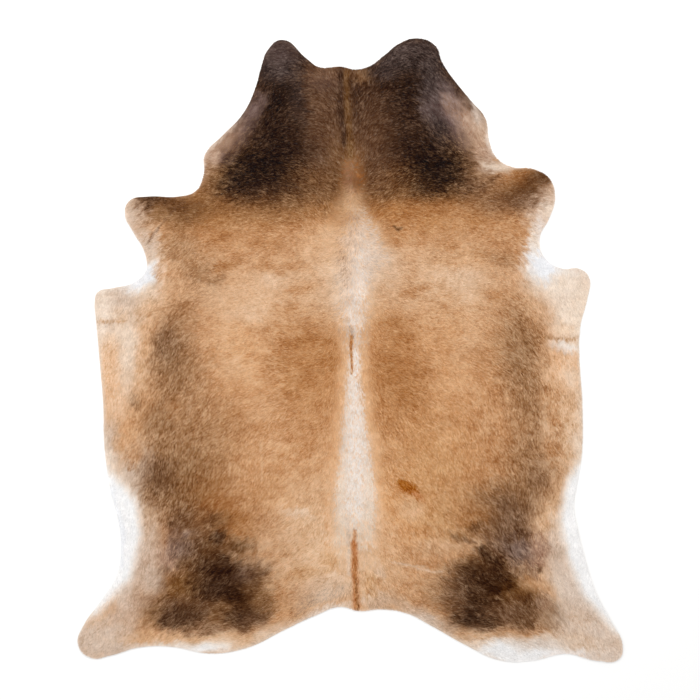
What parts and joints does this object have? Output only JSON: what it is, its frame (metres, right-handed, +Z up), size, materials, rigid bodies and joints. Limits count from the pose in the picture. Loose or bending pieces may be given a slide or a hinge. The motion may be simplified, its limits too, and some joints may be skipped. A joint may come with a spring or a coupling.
{
  "type": "cowhide rug",
  "caption": "Flat hair-on cowhide rug cut to the natural outline of one whole hide, with a caramel coat, dark neck and rump patches and a pale spine.",
  "frame": {"origin": "middle of the hide's box, on the flesh side that lies on the floor", "axes": "+X across the hide to its right foreleg as seen from above, +Y from the rump to the neck, +Z up out of the coat"},
  "size_m": [1.962, 2.2454, 0.006],
  "materials": {
    "hair_on_hide": "tanned hide with the hair left on, short coat combed flat, soft sheen; suede flesh side"
  },
  "bodies": {
    "root": {"cowhide": "hair_on_hide"}
  },
  "joints": []
}
